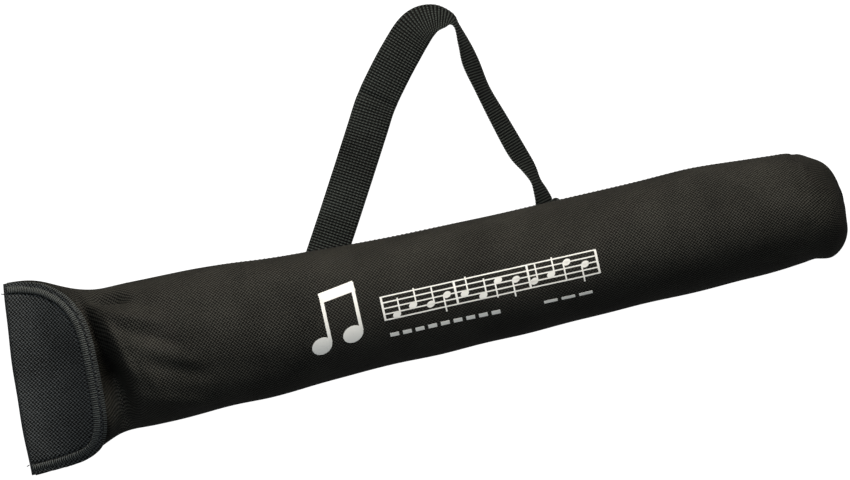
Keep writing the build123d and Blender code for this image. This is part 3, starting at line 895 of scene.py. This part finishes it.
def disc(centre, long_r, short_r, lean, rings=5, around=36):
    """Leaning oval."""
    rows = []
    for k in np.linspace(1, 0.02, rings):
        a = np.linspace(0, TAU, around + 1)
        u, v = long_r * k * np.cos(a), short_r * k * np.sin(a)
        rows.append(np.stack([centre[0] + u * cos(lean) - v * sin(lean),
                              centre[1] + u * sin(lean) + v * cos(lean)], -1))
    return rows


def printed(name, shapes):
    """One printed piece from several shapes."""
    points = []
    faces = []
    for shape in shapes:
        more, quads = print_patch(shape)
        faces += [tuple(i + len(points) for i in quad) for quad in quads]
        points += more.tolist()
    made = outward(mesh_object(name, np.array(points), faces, smooth=False))
    dress(made, ink, "print_white")
    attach(made, "bag")


def beamed_pair(s, y, size):
    """Two joined quavers, with heads, stems and a slanting beam."""
    head = 0.17 * size
    gap = 0.52 * size
    shapes = []
    for k in (0, 1):
        base_y = y + k * 0.08 * size
        shapes.append(disc((s + k * gap, base_y), head, head * 0.74, 0.35))
        stem_s = s + k * gap + head * 0.86
        shapes.append(bar((stem_s, base_y + 0.03 * size), (stem_s, base_y + 0.80 * size), 0.055 * size))
    start = (s + head * 0.86 - 0.027 * size, y + 0.74 * size)
    end = (s + gap + head * 0.86 + 0.027 * size, y + 0.82 * size)
    shapes.append(bar(start, end, 0.16 * size, rows=4))
    return shapes


printed("print_notes", beamed_pair(222, -24, 46))

STAFF_START, STAFF_END, STAFF_Y, STAFF_PITCH = 271, 430, -15.5, 4.2
LINES = [STAFF_Y + k * STAFF_PITCH for k in range(5)]
TUNE = (1, 3, 2, 4, 3, 1, 5, 4, 2, 3, 6, 4)
staff = [bar((STAFF_START, line_y), (STAFF_END, line_y), 0.95) for line_y in LINES]
for bar_s in (STAFF_START, 325, 379, STAFF_END):
    staff.append(bar((bar_s, LINES[0] - 0.4), (bar_s, LINES[4] + 0.4), 1.6))
for k, step in enumerate(TUNE):
    note_s = STAFF_START + 9 + k * 12.8
    note_y = STAFF_Y + step * STAFF_PITCH / 2
    direction = 1 if step < 4 else -1
    staff.append(disc((note_s, note_y), 3.1, 2.25, 0.35))
    stem_s = note_s + direction * 2.6
    staff.append(bar((stem_s, note_y), (stem_s, note_y + direction * 12), 1.1))
printed("print_staff", staff)

# Two rows of dashes: first distance, Y, how many, pitch, length and width.
dashes = []
for dash_s, dash_y, count, pitch, long, wide in ((272, -27, 9, 9.4, 6.5, 2.6),
                                                (386, -27.5, 3, 13, 10, 1.8)):
    for k in range(count):
        dashes.append(bar((dash_s + k * pitch, dash_y), (dash_s + long + k * pitch, dash_y), wide))
printed("print_dashes", dashes)

# ------------------------------------------------------------------ studio
FLOOR_Z = -0.006


def floor():
    """White floor, low enough that it doesn't cut the flap folded out, which dips a little."""
    size = 9
    mesh = bpy.data.meshes.new("floor")
    corners = [(x * size, y * size, FLOOR_Z) for x, y in ((-1, -1), (1, -1), (1, 1), (-1, 1))]
    mesh.from_pydata(corners, [], [(0, 1, 2, 3)])
    obj = bpy.data.objects.new("floor", mesh)
    bpy.context.scene.collection.objects.link(obj)
    material, _, _ = new_material("floor_white", (0.1, 0.1, 0.1), 0.9, Specular_IOR_Level=0.0,
                                  Emission_Color=(1, 1, 1, 1), Emission_Strength=1.05)
    mesh.materials.append(material)
    obj.visible_diffuse = False
    obj.visible_glossy = False


def lamp(name, place, aim, size, power, color):
    """Square soft light."""
    data = bpy.data.lights.new(name, "AREA")
    data.size = size
    data.energy = power
    data.color = color
    obj = bpy.data.objects.new(name, data)
    obj.location = place
    obj.rotation_euler = (Vector(aim) - Vector(place)).to_track_quat("-Z", "Y").to_euler()
    bpy.context.scene.collection.objects.link(obj)


floor()
lamp("key", (0.15, 1.5, 1.0), (0, 0, 0), 0.7, 46, (1, 0.91, 0.80))
lamp("fill", (-0.6, 0.3, 1.3), (-0.3, 0, 0), 0.4, 4.5, (0.86, 0.94, 1))
lamp("top", (0.9, 0.5, 2.4), (0, 0, 0), 1.2, 9, (0.91, 1, 0.95))
bpy.context.scene.view_settings.view_transform = "Standard"
world = bpy.data.worlds.new("studio")
world.use_nodes = True
world.node_tree.nodes["Background"].inputs[0].default_value = (1, 1, 1, 1)
world.node_tree.nodes["Background"].inputs[1].default_value = 0.16
bpy.context.scene.world = world

# The camera looks straight down, rolled so that the bag rises to the right.
ROLL = radians(12.55)
VIEW_WIDTH = 0.6204
DISTANCE = 6.0
LOOK_AT = Vector((0.004, 0.035, 0.04))
camera_data = bpy.data.cameras.new("camera")
camera_data.sensor_width = 36
camera_data.lens = 36 * DISTANCE / VIEW_WIDTH
camera = bpy.data.objects.new("camera", camera_data)
right = Vector((cos(ROLL), -sin(ROLL), 0))
ahead_up = Vector((sin(ROLL), cos(ROLL), 0))
camera.matrix_world = Matrix((
    (right.x, ahead_up.x, 0, LOOK_AT.x),
    (right.y, ahead_up.y, 0, LOOK_AT.y),
    (0, 0, 1, LOOK_AT.z + DISTANCE),
    (0, 0, 0, 1)))
bpy.context.scene.collection.objects.link(camera)
bpy.context.scene.camera = camera
